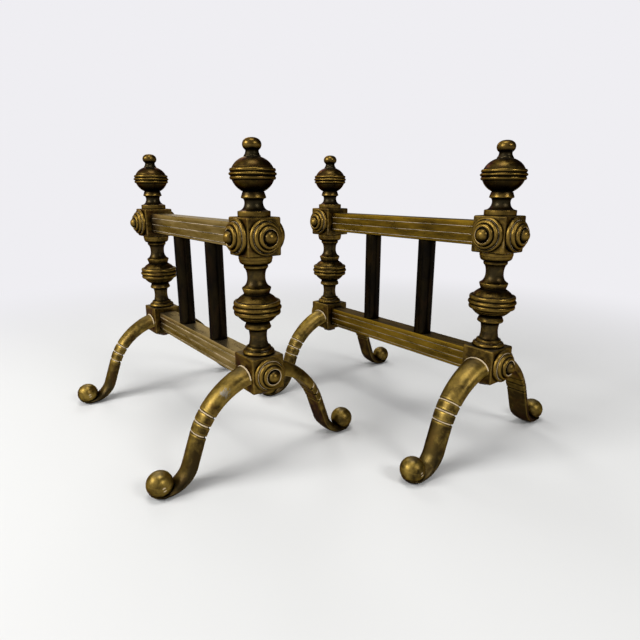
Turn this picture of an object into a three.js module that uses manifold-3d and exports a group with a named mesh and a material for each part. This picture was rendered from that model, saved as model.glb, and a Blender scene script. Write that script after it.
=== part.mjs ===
// A matched pair of brass andirons, in millimetres, +Z up, standing on the plane z = 0.
//
// Each andiron is a frame of two posts joined by two flat rails with a pair of plain spindles.
// A post is a stack: lower block, turned column, upper block and turned finial, drawn together
// by a tie rod and a nut. Two scrolled legs leave the sides of each lower block, and stepped
// roundels cover the free faces of the blocks. The rails run along Y and the legs spread along X.
import * as THREE from 'three';
import { mergeVertices } from 'three/addons/utils/BufferGeometryUtils.js';
import { ConvexGeometry } from 'three/addons/geometries/ConvexGeometry.js';
import Module from 'manifold-3d';

const wasm = await Module();
wasm.setup();

// ---- Driving dimensions, in millimetres and degrees ----

// The pair: how far the second andiron stands from the first, sideways and along the rails.
const pairSpacing = 143.4;
const pairStagger = 90.2;

// Square blocks, one inch on the side, how high the lower ones stand above the hearth, and the
// distance between the two posts.
const blockSide = 25.4;
const lowerBlockBase = 58.4;
const blockBevel = 0.9;
const postSpacing = 187;

// Rails: flat bars with three lines cut along each side, and tenons let into the blocks.
const railThickness = 15.5;
const railHeight = 17;
const railLineCount = 3;
const railLinePitch = 5.5;
const railLineDrop = 1;
const railLineWidth = 1.1;
const railLineDepth = 0.6;
const tenonWidth = 9;
const tenonHeight = 9;
const tenonLength = 5;
const jointClearance = 0.3;

// Spindles: plain round bars with a spigot at each end.
const spindleRadius = 6.9;
const spindleSpacing = 61.5;
const spigotRadius = 4;
const spigotLength = 5;

// Tie rod and its nut under the lower block.
const rodRadius = 3;
const rodClearance = 0.3;
const rodInFinial = 14;
const rodTail = 1.2;
const nutFlats = 11;
const nutHeight = 4;

// Finial, from the foot disc up to the ball.
const footDiscRadius = 10.9;
const footDiscHeight = 3.6;
const finialNeckRadius = 6.1;
const finialNeckTopRadius = 6.9;
const finialNeckHeight = 7.9;
const finialCollarRadius = 8.2;
const finialCollarTopRadius = 7;
const finialCollarHeight = 3.5;
const finialBulbRadius = 14.3;
const finialBulbUnder = 12.9;
const finialBulbOver = 11.7;
const throatRadius = 3.9;
const throatFlareRadius = 5.5;
const throatHeight = 4.2;
const ballRadius = 6.2;
const ballDepth = 4.6;

// Column, from the base ring up to the disc under the upper block.
const baseRingRadius = 11.2;
const baseRingHeight = 3;
const baseBeadRadius = 8.7;
const baseBeadHeight = 2.2;
const lowerNeckFlareRadius = 7.2;
const lowerNeckRadius = 6;
const lowerNeckHeight = 12.2;
const columnCollarRadius = 9.3;
const columnCollarTopRadius = 8.2;
const columnCollarHeight = 5.4;
const columnBulbRadius = 15.6;
const columnBulbUnder = 12.2;
const columnBulbOver = 11.2;
const ringSeatRadius = 8.9;
const ringRadius = 10;
const ringHeight = 4.4;
const upperNeckRadius = 6.2;
const upperNeckHeight = 14.2;
const capStepRadius = 8.3;
const capStepHeight = 2.2;
const capDiscRadius = 11.5;
const capCoveHeight = 3.6;
const capDiscHeight = 2.4;

// Raised bands round the widest part of each bulb.
const bandCount = 3;
const bandHeight = 2.6;
const bandStand = 1.3;
const bandStep = 0.5;

// Roundels: flat steps, by radius and by height of each face, under a domed boss.
const roundelRadii = [12.1, 10.4, 7.8];
const roundelHeights = [1.8, 4.2, 6.8];
const roundelTaper = 0.5;
const bossRadius = 5.2;
const bossHeight = 3.2;

// Legs: a D-shaped bar that springs from the block, arches down, and runs out along the hearth
// into the underside of a ball.
const legRootRise = 7.4;
const legRootWidth = 22;
const legRootDepth = 10.8;
const legShankWidth = 16.5;
const legShankDepth = 7.6;
const legSoleWidth = 14;
const legSoleDepth = 4.4;
const legTipWidth = 10;
const legTipDepth = 3;
const legSideShare = 0.5;
const legRootSlope = 16;
const legShankSlope = 70.5;
const legArchRadius = 52;
const legSweepRadius = 22;
const legSoleLength = 3;
const legCurlAngle = 50;
const legGrooveCount = 3;
const legGrooveSlope = 52.3;
const legGroovePitch = 6.8;
const legGrooveWidth = 1.6;
const legGrooveDepth = 0.9;
const footBallRadius = 8.9;
const footBallLip = 0.6;
const legTenonWidth = 12;
const legTenonHeight = 6;

// Facets round each kind of turned piece, and steps along curves.
const turnedSides = 12;
const rodSides = 8;
const ballSides = 12;
const ballRings = 6;
const coveSteps = 2;
const bulbSteps = 3;
const finialBallSteps = 4;
const bossSteps = 2;
const domeSides = 4;
const archSteps = 3;
const sweepSteps = 4;
const curlSteps = 3;

// ---- Places worked out from the dimensions ----

const radians = THREE.MathUtils.degToRad;
const halfBlock = blockSide / 2;
const boreRadius = rodRadius + rodClearance;

// The middle of a foot's ball is this far above the hearth. The skin of the bar starts at the same
// distance from it and closes in to the ball along the curl.
const footBallHeight = footBallRadius + footBallLip;

// ---- Materials ----

const castBrass = new THREE.MeshStandardMaterial({ color: 0x7a6128, metalness: 1, roughness: 0.42 });
const turnedBrass = new THREE.MeshStandardMaterial({ color: 0x6b5426, metalness: 1, roughness: 0.4 });
const railBrass = new THREE.MeshStandardMaterial({ color: 0x7d6833, metalness: 1, roughness: 0.5 });
const darkBrass = new THREE.MeshStandardMaterial({ color: 0x33291a, metalness: 1, roughness: 0.45 });
const iron = new THREE.MeshStandardMaterial({ color: 0x3b3733, metalness: 1, roughness: 0.7 });

// ---- Solid modelling helpers ----

// Turns a closed geometry into a solid for joining and cutting.
function solid(geometry) {
  const bare = geometry.clone();
  bare.deleteAttribute('normal');
  bare.deleteAttribute('uv');
  const merged = mergeVertices(bare, 1e-4);
  const indices = merged.index.array;
  return new wasm.Manifold(new wasm.Mesh({
    numProp: 3,
    vertProperties: new Float32Array(merged.attributes.position.array),
    triVerts: new Uint32Array(indices),
  }));
}

// Turns a solid back into a geometry.
function geometryOf(body) {
  const mesh = body.getMesh();
  const geometry = new THREE.BufferGeometry();
  geometry.setAttribute('position', new THREE.BufferAttribute(mesh.vertProperties, 3));
  geometry.setIndex(new THREE.BufferAttribute(mesh.triVerts, 1));
  geometry.computeVertexNormals();
  return geometry;
}

function box(sizeX, sizeY, sizeZ, x, y, z) {
  return new THREE.BoxGeometry(sizeX, sizeY, sizeZ).translate(x, y, z);
}

function bar(radius, length, sides, z) {
  return new THREE.CylinderGeometry(radius, radius, length, sides)
    .rotateX(Math.PI / 2)
    .translate(0, 0, z + length / 2);
}

// Revolves an outline of (radius, height) points round the Z axis.
function turned(outline, sides) {
  const points = outline.map(([radius, height]) => new THREE.Vector2(radius, height));
  return new THREE.LatheGeometry(points, sides).rotateX(Math.PI / 2);
}

// ---- Turned outlines ----

// Follows a turner's tool up a piece: each method adds one feature above the last point.
class TurnedOutline {
  constructor(radius) {
    this.points = [[radius, 0]];
  }

  get radius() {
    return this.points.at(-1)[0];
  }

  get height() {
    return this.points.at(-1)[1];
  }

  // A straight cut to a radius, rising by a height.
  cut(radius, rise = 0) {
    this.points.push([radius, this.height + rise]);
    return this;
  }

  // A quarter hollow to a radius, rising by a height, that starts upright or flat.
  quarter(radius, rise, startsUpright) {
    const [startRadius, startHeight] = this.points.at(-1);
    for (let step = 1; step <= coveSteps; step += 1) {
      const turn = (Math.PI / 2) * (step / coveSteps);
      const across = startsUpright ? 1 - Math.cos(turn) : Math.sin(turn);
      const up = startsUpright ? Math.sin(turn) : 1 - Math.cos(turn);
      this.points.push([startRadius + (radius - startRadius) * across, startHeight + rise * up]);
    }
    return this;
  }

  // A hollow neck that narrows to a waist half way up and widens again.
  neck(waistRadius, topRadius, rise) {
    return this.quarter(waistRadius, rise / 2, false).quarter(topRadius, rise / 2, true);
  }

  // An arc of a flattened ball, between two angles from its widest line, without the first point.
  arc(radius, depth, middle, from, to, steps = bulbSteps) {
    for (let step = 1; step <= steps; step += 1) {
      const turn = from + (to - from) * (step / steps);
      this.points.push([radius * Math.cos(turn), middle + depth * Math.sin(turn)]);
    }
    return this;
  }

  // A bulb from the present radius out to raised bands round its widest part, then in again.
  bandedBulb(radius, under, over, topRadius) {
    const start = Math.acos(this.radius / radius);
    const middle = this.height + under * Math.sin(start);
    const bandsHalf = (bandCount * bandHeight) / 2;
    this.arc(radius, under, middle, -start, -Math.asin(bandsHalf / under));
    for (let band = 0; band < bandCount; band += 1) {
      const lift = band === (bandCount - 1) / 2 ? bandStand : bandStand - bandStep;
      const bottom = middle - bandsHalf + band * bandHeight;
      this.points.push([radius + lift, bottom + bandHeight / 2]);
      this.points.push([radius, bottom + bandHeight]);
    }
    return this.arc(radius, over, middle, Math.asin(bandsHalf / over), Math.acos(topRadius / radius));
  }

  // A flattened ball that closes on the axis.
  ball(radius, depth) {
    const start = Math.acos(this.radius / radius);
    const middle = this.height + depth * Math.sin(start);
    this.arc(radius, depth, middle, -start, Math.PI / 2, finialBallSteps);
    this.points.at(-1)[0] = 0;
    return this;
  }
}

function columnOutline() {
  return new TurnedOutline(baseRingRadius)
    .cut(baseRingRadius, baseRingHeight)
    .cut(baseBeadRadius, baseBeadHeight * 0.4)
    .cut(baseBeadRadius, baseBeadHeight * 0.6)
    .cut(lowerNeckFlareRadius)
    .neck(lowerNeckRadius, lowerNeckFlareRadius, lowerNeckHeight)
    .cut(columnCollarRadius, columnCollarHeight * 0.4)
    .cut(columnCollarTopRadius, columnCollarHeight * 0.6)
    .bandedBulb(columnBulbRadius, columnBulbUnder, columnBulbOver, ringSeatRadius)
    .cut(ringSeatRadius, ringHeight * 0.4)
    .cut(ringRadius, ringHeight * 0.6)
    .neck(upperNeckRadius, capStepRadius, upperNeckHeight)
    .cut(capStepRadius, capStepHeight)
    .quarter(capDiscRadius, capCoveHeight, true)
    .cut(capDiscRadius, capDiscHeight);
}

function finialOutline() {
  return new TurnedOutline(footDiscRadius)
    .cut(footDiscRadius, footDiscHeight)
    .cut(footDiscRadius - blockBevel)
    .neck(finialNeckRadius, finialNeckTopRadius, finialNeckHeight)
    .cut(finialCollarRadius, finialCollarHeight * 0.2)
    .cut(finialCollarTopRadius, finialCollarHeight * 0.8)
    .bandedBulb(finialBulbRadius, finialBulbUnder, finialBulbOver, throatFlareRadius)
    .quarter(throatRadius, throatHeight, false)
    .ball(ballRadius, ballDepth);
}

// ---- Pieces of one andiron, each in its own place with the post on the Z axis ----

// The column is bored from end to end for the tie rod.
function columnGeometry() {
  const outer = columnOutline().points;
  const top = outer.at(-1)[1];
  const outline = [[boreRadius, 0], ...outer, [boreRadius, top], [boreRadius, 0]];
  return turned(outline, turnedSides);
}

// The finial stands on its foot disc, with a blind hole for the end of the tie rod.
function finialGeometry() {
  const outer = finialOutline().points;
  const holeDepth = rodInFinial + rodClearance;
  return turned([[0, holeDepth], [boreRadius, holeDepth], [boreRadius, 0], ...outer], turnedSides);
}

const columnHeight = columnOutline().height;
const lowerBlockTop = lowerBlockBase + blockSide;
const upperBlockBase = lowerBlockTop + columnHeight;
const upperBlockTop = upperBlockBase + blockSide;
const lowerBlockMiddle = lowerBlockBase + halfBlock;
const upperBlockMiddle = upperBlockBase + halfBlock;

// A block with bevelled edges, bored upright for the rod, with a mortise for the rail's tenon
// on its inward face and one for each leg where legs meet it.
function blockGeometry(inward, legMortiseHeight) {
  const flat = halfBlock - blockBevel;
  const corners = [];
  for (const sx of [-1, 1]) {
    for (const sy of [-1, 1]) {
      for (const sz of [-1, 1]) {
        corners.push(new THREE.Vector3(sx * halfBlock, sy * flat, sz * flat));
        corners.push(new THREE.Vector3(sx * flat, sy * halfBlock, sz * flat));
        corners.push(new THREE.Vector3(sx * flat, sy * flat, sz * halfBlock));
      }
    }
  }
  const mortise = tenonLength + jointClearance;
  const play = 2 * jointClearance;
  let body = solid(new ConvexGeometry(corners))
    .subtract(solid(bar(boreRadius, blockSide * 2, rodSides, -blockSide)))
    .subtract(solid(box(
      tenonWidth + play,
      mortise * 2,
      tenonHeight + play,
      0,
      inward * halfBlock,
      0,
    )));
  if (legMortiseHeight !== undefined) {
    for (const side of [-1, 1]) {
      body = body.subtract(solid(box(
        mortise * 2,
        legTenonWidth + play,
        legTenonHeight + play,
        side * halfBlock,
        0,
        legMortiseHeight,
      )));
    }
  }
  return geometryOf(body);
}

// A roundel stands on its flat back and rises along Z to the crown of its boss.
function roundelGeometry() {
  const outline = [[0, 0]];
  let base = 0;
  roundelRadii.forEach((radius, step) => {
    outline.push([radius, base]);
    outline.push([radius - roundelTaper, roundelHeights[step]]);
    base = roundelHeights[step];
  });
  for (let step = 0; step <= bossSteps; step += 1) {
    const turn = (Math.PI / 2) * (step / bossSteps);
    outline.push([bossRadius * Math.cos(turn), base + bossHeight * Math.sin(turn)]);
  }
  outline.at(-1)[0] = 0;
  return turned(outline, turnedSides);
}

// A rail runs along Y between the blocks, with a line cut along each side for every line wanted.
function railGeometry(spigotSide) {
  const half = railThickness / 2;
  const length = postSpacing - blockSide - 2 * jointClearance;
  const side = [];
  for (let line = 0; line < railLineCount; line += 1) {
    const middle = (line - (railLineCount - 1) / 2) * railLinePitch - railLineDrop;
    side.push([half, middle - railLineWidth / 2]);
    side.push([half - railLineDepth, middle]);
    side.push([half, middle + railLineWidth / 2]);
  }
  const right = [[half, -railHeight / 2], ...side, [half, railHeight / 2]];
  const left = right.map(([x, z]) => [-x, z]).reverse();
  const section = new THREE.Shape([...right, ...left].map(([x, z]) => new THREE.Vector2(x, z)));
  const barGeometry = new THREE.ExtrudeGeometry(section, { depth: length, bevelEnabled: false })
    .rotateX(Math.PI / 2)
    .translate(0, length / 2, 0);
  let body = solid(barGeometry)
    .add(solid(box(tenonWidth, length + 2 * tenonLength, tenonHeight, 0, 0, 0)));
  const hole = spigotLength + jointClearance;
  for (const end of [-1, 1]) {
    const socket = bar(spigotRadius + jointClearance, 2 * hole, turnedSides, -hole)
      .translate(0, end * spindleSpacing / 2, spigotSide * railHeight / 2);
    body = body.subtract(solid(socket));
  }
  return geometryOf(body);
}

const spindleLength = upperBlockMiddle - lowerBlockMiddle - railHeight - jointClearance;

// A spindle stands on the bottom rail, its spigots reaching into both rails.
function spindleGeometry() {
  return turned([
    [0, -spigotLength],
    [spigotRadius, -spigotLength],
    [spigotRadius, 0],
    [spindleRadius, 0],
    [spindleRadius, spindleLength],
    [spigotRadius, spindleLength],
    [spigotRadius, spindleLength + spigotLength],
    [0, spindleLength + spigotLength],
  ], turnedSides);
}

// The stations of a leg's underside, as distance out from the post and height above the hearth,
// with the slope, the width and depth of the bar, how far a groove cuts it in, and, where the bar
// hugs the ball, the radius that its underside is rounded to.
function legStations() {
  const rootSlope = radians(legRootSlope);
  const shankSlope = radians(legShankSlope);
  const rootHeight = lowerBlockBase + legRootRise;
  const archDrop = legArchRadius * (Math.cos(rootSlope) - Math.cos(shankSlope));
  const sweepDrop = legSweepRadius * (1 - Math.cos(shankSlope));
  const shankLength = (rootHeight - archDrop - sweepDrop) / Math.sin(shankSlope);
  const stations = [];
  const onArch = (slope, inset) => {
    const share = (slope - rootSlope) / (shankSlope - rootSlope);
    stations.push({
      out: halfBlock + jointClearance + legArchRadius * (Math.sin(slope) - Math.sin(rootSlope)),
      height: rootHeight - legArchRadius * (Math.cos(rootSlope) - Math.cos(slope)),
      slope: share > 0 ? slope : 0,
      width: THREE.MathUtils.lerp(legRootWidth, legShankWidth, Math.sqrt(share)),
      depth: THREE.MathUtils.lerp(legRootDepth, legShankDepth, Math.sqrt(share)),
      inset,
    });
  };
  const firstGroove = radians(legGrooveSlope);
  const grooveHalf = legGrooveWidth / 2 / legArchRadius;
  for (let step = 0; step < archSteps; step += 1) {
    onArch(rootSlope + (firstGroove - 2 * grooveHalf - rootSlope) * (step / archSteps), 0);
  }
  for (let groove = 0; groove < legGrooveCount; groove += 1) {
    const slope = firstGroove + groove * legGroovePitch / legArchRadius;
    onArch(slope - grooveHalf, 0);
    onArch(slope, legGrooveDepth);
    onArch(slope + grooveHalf, 0);
  }
  onArch(shankSlope, 0);
  const shankTop = stations.at(-1);
  const sweepStart = {
    out: shankTop.out + shankLength * Math.cos(shankSlope),
    height: shankTop.height - shankLength * Math.sin(shankSlope),
  };
  for (let step = 0; step <= sweepSteps; step += 1) {
    const share = step / sweepSteps;
    const slope = shankSlope * (1 - share);
    stations.push({
      out: sweepStart.out + legSweepRadius * (Math.sin(shankSlope) - Math.sin(slope)),
      height: sweepStart.height - legSweepRadius * (Math.cos(slope) - Math.cos(shankSlope)),
      slope,
      width: THREE.MathUtils.lerp(legShankWidth, legSoleWidth, share),
      depth: THREE.MathUtils.lerp(legShankDepth, legSoleDepth, share),
      inset: 0,
    });
  }
  const soleEnd = stations.at(-1).out + legSoleLength;
  for (let step = 0; step <= curlSteps; step += 1) {
    const share = step / curlSteps;
    const turn = radians(legCurlAngle) * share;
    const reach = THREE.MathUtils.lerp(footBallHeight, footBallRadius, share);
    stations.push({
      out: soleEnd + reach * Math.sin(turn),
      height: footBallHeight - reach * Math.cos(turn),
      slope: -turn,
      width: THREE.MathUtils.lerp(legSoleWidth, legTipWidth, share),
      depth: THREE.MathUtils.lerp(legSoleDepth, legTipDepth, share),
      inset: 0,
      hug: share > 0 ? reach : Infinity,
    });
  }
  return { stations, ballOut: soleEnd };
}

// One D-shaped ring of the bar: flat underneath, upright sides, and a rounded back. Where the bar
// hugs the ball, its edges lift as the ball's own side does.
function legRing({ out, height, slope, width, depth, inset, hug = Infinity }) {
  const half = width / 2 - inset;
  const edgeLift = hug === Infinity ? 0 : hug - Math.sqrt(hug ** 2 - half ** 2);
  const sideTop = depth * legSideShare;
  const crown = depth - inset - sideTop;
  const ring = [[-half, inset + edgeLift], [0, inset], [half, inset + edgeLift]];
  for (let step = 0; step <= domeSides; step += 1) {
    const turn = Math.PI * (step / domeSides);
    ring.push([half * Math.cos(turn), edgeLift + sideTop + crown * Math.sin(turn)]);
  }
  return ring.map(([across, lift]) => new THREE.Vector3(
    -(out + lift * Math.sin(slope)),
    across,
    height + lift * Math.cos(slope),
  ));
}

// Skins a row of rings of equal count into a closed body.
function lofted(rings) {
  const count = rings[0].length;
  const positions = rings.flat().flatMap((point) => [point.x, point.y, point.z]);
  const indices = [];
  for (let row = 0; row < rings.length - 1; row += 1) {
    for (let column = 0; column < count; column += 1) {
      const next = (column + 1) % count;
      const a = row * count + column;
      const b = row * count + next;
      indices.push(a, a + count, b, b, a + count, b + count);
    }
  }
  const last = (rings.length - 1) * count;
  for (let column = 1; column < count - 1; column += 1) {
    indices.push(0, column, column + 1);
    indices.push(last, last + column + 1, last + column);
  }
  const geometry = new THREE.BufferGeometry();
  geometry.setAttribute('position', new THREE.Float32BufferAttribute(positions, 3));
  geometry.setIndex(indices);
  return geometry;
}

const legTenonMiddle = legRootRise + legRootDepth / 2 - halfBlock;

// A leg leaves the block towards -X; its tenon reaches back into the block.
function legGeometry() {
  const { stations, ballOut } = legStations();
  const ball = new THREE.SphereGeometry(footBallRadius, ballSides, ballRings)
    .rotateX(Math.PI / 2)
    .translate(-ballOut, 0, footBallHeight);
  const tenon = box(
    tenonLength * 2,
    legTenonWidth,
    legTenonHeight,
    -halfBlock - jointClearance,
    0,
    lowerBlockMiddle + legTenonMiddle,
  );
  return geometryOf(solid(lofted(stations.map(legRing))).add(solid(ball)).add(solid(tenon)));
}

const rodBottom = lowerBlockBase - nutHeight - rodTail;
const rodTop = upperBlockTop + rodInFinial;

function nutGeometry() {
  const hexagon = new THREE.Shape();
  const corner = nutFlats / 2 / Math.cos(Math.PI / 6);
  for (let side = 0; side < 6; side += 1) {
    const turn = (Math.PI / 3) * side;
    hexagon[side === 0 ? 'moveTo' : 'lineTo'](corner * Math.cos(turn), corner * Math.sin(turn));
  }
  hexagon.closePath();
  hexagon.holes.push(new THREE.Path().absarc(0, 0, boreRadius, 0, 2 * Math.PI, true));
  const curveSegments = rodSides / 2;
  return new THREE.ExtrudeGeometry(hexagon, { depth: nutHeight, bevelEnabled: false, curveSegments });
}

// ---- Assembly ----

function place(group, name, geometry, material, position = [0, 0, 0], rotation = [0, 0, 0]) {
  const mesh = new THREE.Mesh(geometry, material);
  mesh.name = name;
  mesh.position.set(...position);
  mesh.rotation.set(...rotation);
  group.add(mesh);
}

// The ways that a roundel can face: out of the end, the outer side or the inner side of a block.
function roundelFacing(towards) {
  const [x, y] = towards;
  const face = halfBlock + jointClearance;
  return { offset: [x * face, y * face], rotation: [-y * Math.PI / 2, x * Math.PI / 2, 0] };
}

// One post: blocks, column, finial, roundels, legs, rod and nut. `end` is -1 in front, 1 behind.
function post(prefix, end, outerSide) {
  const group = new THREE.Group();
  group.position.set(0, end * postSpacing / 2, 0);
  const name = (piece) => `${prefix}_${piece}`;
  place(group, name('lower_block'), blockGeometry(-end, legTenonMiddle), castBrass,
    [0, 0, lowerBlockMiddle]);
  place(group, name('column'), columnGeometry(), turnedBrass, [0, 0, lowerBlockTop]);
  place(group, name('upper_block'), blockGeometry(-end), castBrass, [0, 0, upperBlockMiddle]);
  place(group, name('finial'), finialGeometry(), turnedBrass, [0, 0, upperBlockTop]);
  place(group, name('tie_rod'), bar(rodRadius, rodTop - rodBottom, rodSides, rodBottom), iron);
  place(group, name('nut'), nutGeometry(), iron, [0, 0, lowerBlockBase - nutHeight]);

  const roundel = (piece, towards, height) => {
    const { offset, rotation } = roundelFacing(towards);
    place(group, name(piece), roundelGeometry(), castBrass, [...offset, height], rotation);
  };
  roundel('lower_end_roundel', [0, end], lowerBlockMiddle);
  roundel('upper_end_roundel', [0, end], upperBlockMiddle);
  roundel('upper_outer_roundel', [outerSide, 0], upperBlockMiddle);
  roundel('upper_inner_roundel', [-outerSide, 0], upperBlockMiddle);

  const legTurn = (side) => [0, 0, side < 0 ? 0 : Math.PI];
  place(group, name('outer_leg'), legGeometry(), castBrass, [0, 0, 0], legTurn(outerSide));
  place(group, name('inner_leg'), legGeometry(), castBrass, [0, 0, 0], legTurn(-outerSide));
  return group;
}

// One andiron: two posts, two rails and two spindles.
function andiron(prefix, outerSide) {
  const group = new THREE.Group();
  group.add(post(`${prefix}_front`, -1, outerSide));
  group.add(post(`${prefix}_back`, 1, outerSide));
  place(group, `${prefix}_top_rail`, railGeometry(-1), railBrass, [0, 0, upperBlockMiddle]);
  place(group, `${prefix}_bottom_rail`, railGeometry(1), railBrass, [0, 0, lowerBlockMiddle]);
  const spindleFoot = lowerBlockMiddle + railHeight / 2;
  for (const [piece, end] of [['front_spindle', -1], ['back_spindle', 1]]) {
    const across = end * spindleSpacing / 2;
    place(group, `${prefix}_${piece}`, spindleGeometry(), darkBrass, [0, across, spindleFoot]);
  }
  return group;
}

const pair = new THREE.Group();
const left = andiron('left', -1);
left.position.set(-pairSpacing / 2, pairStagger / 2, 0);
const right = andiron('right', 1);
right.position.set(pairSpacing / 2, -pairStagger / 2, 0);
pair.add(left, right);

export default pair;
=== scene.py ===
"""A matched pair of small old brass fire dogs, standing on a pale studio floor.

Everything is in metres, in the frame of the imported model: the rails run along Y, the legs spread
along X, and the hearth is the plane z = 0. Outlines and sizes that are written in millimetres are
multiplied by MM, at the latest when their mesh is made.
"""
import math

import bmesh
import bpy
from mathutils import Matrix, Vector


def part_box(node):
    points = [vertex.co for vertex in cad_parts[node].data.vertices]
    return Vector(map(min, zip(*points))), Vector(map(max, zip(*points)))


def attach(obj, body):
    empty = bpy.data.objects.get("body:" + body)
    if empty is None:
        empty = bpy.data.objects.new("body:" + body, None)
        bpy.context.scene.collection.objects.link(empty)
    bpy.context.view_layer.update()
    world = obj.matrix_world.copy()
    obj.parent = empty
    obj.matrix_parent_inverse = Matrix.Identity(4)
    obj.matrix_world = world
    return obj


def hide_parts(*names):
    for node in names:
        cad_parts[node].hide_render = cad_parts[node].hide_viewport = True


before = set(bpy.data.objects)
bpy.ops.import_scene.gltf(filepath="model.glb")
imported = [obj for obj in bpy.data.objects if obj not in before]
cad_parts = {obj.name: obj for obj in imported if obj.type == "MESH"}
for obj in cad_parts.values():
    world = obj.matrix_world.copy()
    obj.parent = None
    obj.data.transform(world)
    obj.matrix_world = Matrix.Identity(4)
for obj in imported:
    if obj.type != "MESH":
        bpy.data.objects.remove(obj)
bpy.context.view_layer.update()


# ---- The studio floor and backdrop ----
# A wide matt white sweep. The floor catches the soft shadows, and the backdrop is the pale
# surround that the eye and the polished brass both see. The rest of the room is dim.

FLOOR_COLOUR = (0.77, 0.77, 0.755, 1)
BACKDROP_COLOUR = (0.863, 0.855, 0.888, 1)
ROOM_COLOUR = (0.3, 0.3, 0.31, 1)
DARK_ROOM_COLOUR = (0.1, 0.1, 0.105, 1)
FLOOR_HALF = 6.0
# From the middle of the floor, the sweep fades into the backdrop between these two distances.
SWEEP_STARTS = 0.24
SWEEP_ENDS = 0.8
# The brass mirrors the backdrop on this side only. It fades in between the two numbers, which are
# how far a ray heads that way.
BACKDROP_SIDE = (-0.8, 0.6, 0.1)
BACKDROP_BEGINS = -0.35
BACKDROP_FULL = 0.45

floor_mesh = bpy.data.meshes.new("floor")
floor_corners = [(FLOOR_HALF * x, FLOOR_HALF * y, 0) for x, y in ((-1, -1), (1, -1), (1, 1), (-1, 1))]
floor_mesh.from_pydata(floor_corners, [], [(0, 1, 2, 3)])
floor = bpy.data.objects.new("floor", floor_mesh)
bpy.context.scene.collection.objects.link(floor)
floor_material = bpy.data.materials.new("matt_white_sweep")
floor_material.use_nodes = True
floor_tree = floor_material.node_tree
floor_shader = floor_tree.nodes["Principled BSDF"]
floor_shader.inputs["Base Color"].default_value = FLOOR_COLOUR
floor_shader.inputs["Roughness"].default_value = 0.9
floor_shader.inputs["Specular IOR Level"].default_value = 0.1
far_sweep = floor_tree.nodes.new("ShaderNodeEmission")
far_sweep.inputs["Color"].default_value = BACKDROP_COLOUR
floor_place = floor_tree.nodes.new("ShaderNodeTexCoord")
floor_reach = floor_tree.nodes.new("ShaderNodeVectorMath")
floor_reach.operation = "LENGTH"
floor_tree.links.new(floor_place.outputs["Object"], floor_reach.inputs[0])
floor_fade = floor_tree.nodes.new("ShaderNodeMapRange")
floor_fade.interpolation_type = "SMOOTHSTEP"
floor_fade.inputs["From Min"].default_value = SWEEP_STARTS
floor_fade.inputs["From Max"].default_value = SWEEP_ENDS
floor_tree.links.new(floor_reach.outputs["Value"], floor_fade.inputs["Value"])
floor_blend = floor_tree.nodes.new("ShaderNodeMixShader")
floor_tree.links.new(floor_fade.outputs["Result"], floor_blend.inputs["Fac"])
floor_tree.links.new(floor_shader.outputs["BSDF"], floor_blend.inputs[1])
floor_tree.links.new(far_sweep.outputs["Emission"], floor_blend.inputs[2])
floor_tree.links.new(floor_blend.outputs["Shader"], floor_tree.nodes["Material Output"].inputs["Surface"])
floor_mesh.materials.append(floor_material)

world = bpy.data.worlds.new("pale_backdrop")
bpy.context.scene.world = world
world.use_nodes = True
world_nodes = world.node_tree.nodes
world_links = world.node_tree.links
backdrop = world_nodes["Background"]
rays = world_nodes.new("ShaderNodeLightPath")
outward_ray = world_nodes.new("ShaderNodeTexCoord")
towards_backdrop = world_nodes.new("ShaderNodeVectorMath")
towards_backdrop.operation = "DOT_PRODUCT"
towards_backdrop.inputs[1].default_value = BACKDROP_SIDE
world_links.new(outward_ray.outputs["Generated"], towards_backdrop.inputs[0])
behind = world_nodes.new("ShaderNodeMapRange")
behind.interpolation_type = "SMOOTHSTEP"
behind.inputs["From Min"].default_value = BACKDROP_BEGINS
behind.inputs["From Max"].default_value = BACKDROP_FULL
world_links.new(towards_backdrop.outputs["Value"], behind.inputs["Value"])
mirrored = world_nodes.new("ShaderNodeMath")
mirrored.operation = "MULTIPLY"
world_links.new(rays.outputs["Is Glossy Ray"], mirrored.inputs[0])
world_links.new(behind.outputs["Result"], mirrored.inputs[1])
looked_at = world_nodes.new("ShaderNodeMath")
looked_at.operation = "MAXIMUM"
world_links.new(rays.outputs["Is Camera Ray"], looked_at.inputs[0])
world_links.new(rays.outputs["Is Transmission Ray"], looked_at.inputs[1])
seen = world_nodes.new("ShaderNodeMath")
seen.operation = "MAXIMUM"
world_links.new(looked_at.outputs[0], seen.inputs[0])
world_links.new(mirrored.outputs[0], seen.inputs[1])
room = world_nodes.new("ShaderNodeMix")
room.data_type = "RGBA"
room.inputs["A"].default_value = ROOM_COLOUR
room.inputs["B"].default_value = DARK_ROOM_COLOUR
world_links.new(rays.outputs["Is Glossy Ray"], room.inputs["Factor"])
surround = world_nodes.new("ShaderNodeMix")
surround.data_type = "RGBA"
surround.inputs["B"].default_value = BACKDROP_COLOUR
world_links.new(room.outputs["Result"], surround.inputs["A"])
world_links.new(seen.outputs[0], surround.inputs["Factor"])
world_links.new(surround.outputs["Result"], backdrop.inputs["Color"])


# ---- The studio lamps ----
# Soft boxes: a broad one on the left, one behind the camera that lifts the near faces, one
# overhead and a weak one behind.

# Where each stands, its width and its watts.
LAMPS = {
    "left_box": ((-1.0, 0.22, 0.72), 0.55, 9),
    "front_box": ((0.1, -1.1, 0.78), 0.4, 5),
    "back_box": ((0.3, 1.05, 0.9), 0.45, 2.5),
    "top_box": ((-0.1, -0.1, 1.35), 0.5, 5),
}
LAMP_TARGET = Vector((0, 0, 0.1))
LAMP_HEIGHT_SHARE = 0.8

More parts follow.
